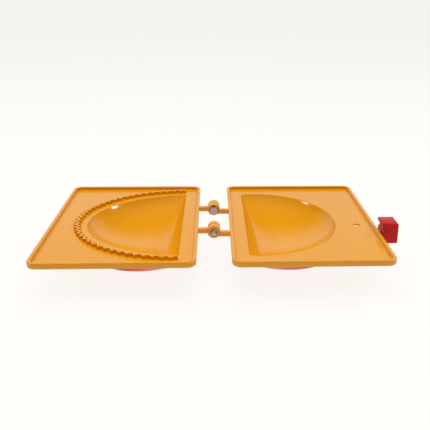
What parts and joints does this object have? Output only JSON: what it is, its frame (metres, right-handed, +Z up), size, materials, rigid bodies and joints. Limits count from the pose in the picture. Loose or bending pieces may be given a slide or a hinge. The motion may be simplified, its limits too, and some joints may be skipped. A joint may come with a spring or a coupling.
{
  "type": "turnover press",
  "caption": "Hinged press lying open: two trays with raised rims and D-shaped filling pockets, a zigzag crimping ridge, riveted hinges and a small snap latch.",
  "frame": {"origin": "on the table under the middle of the open press's outline", "axes": "+X across the hinge towards the latch, +Y along the hinge line, +Z up out of the pockets"},
  "size_m": [0.2322, 0.15, 0.032],
  "materials": {
    "tray_plastic": "satin-gloss moulded, yellow-orange",
    "shell_plastic": "moulded, red",
    "latch_plastic": "satin moulded, red",
    "rivet_steel": "dull plated steel",
    "pin_steel": "plain drawn wire"
  },
  "bodies": {
    "right_half": {"right_tray": "tray_plastic", "right_base_shell": "shell_plastic", "far_hinge_rivet": "rivet_steel", "near_hinge_rivet": "rivet_steel", "latch_pin": "pin_steel"},
    "left_half": {"left_tray": "tray_plastic", "left_base_shell": "shell_plastic"},
    "latch": {"latch": "latch_plastic"}
  },
  "joints": [
    {"name": "tray_hinge", "type": "hinge", "parent": "right_half", "child": "left_half", "pos_m": [-0.00555, 0, 0.02535], "axis": [0, 1, 0], "range_deg": [-60, 180]},
    {"name": "latch_pivot", "type": "hinge", "parent": "right_half", "child": "latch", "pos_m": [0.10705, -0.0248, 0.0208], "axis": [0, 1, 0], "range_deg": [-8, 60]}
  ]
}
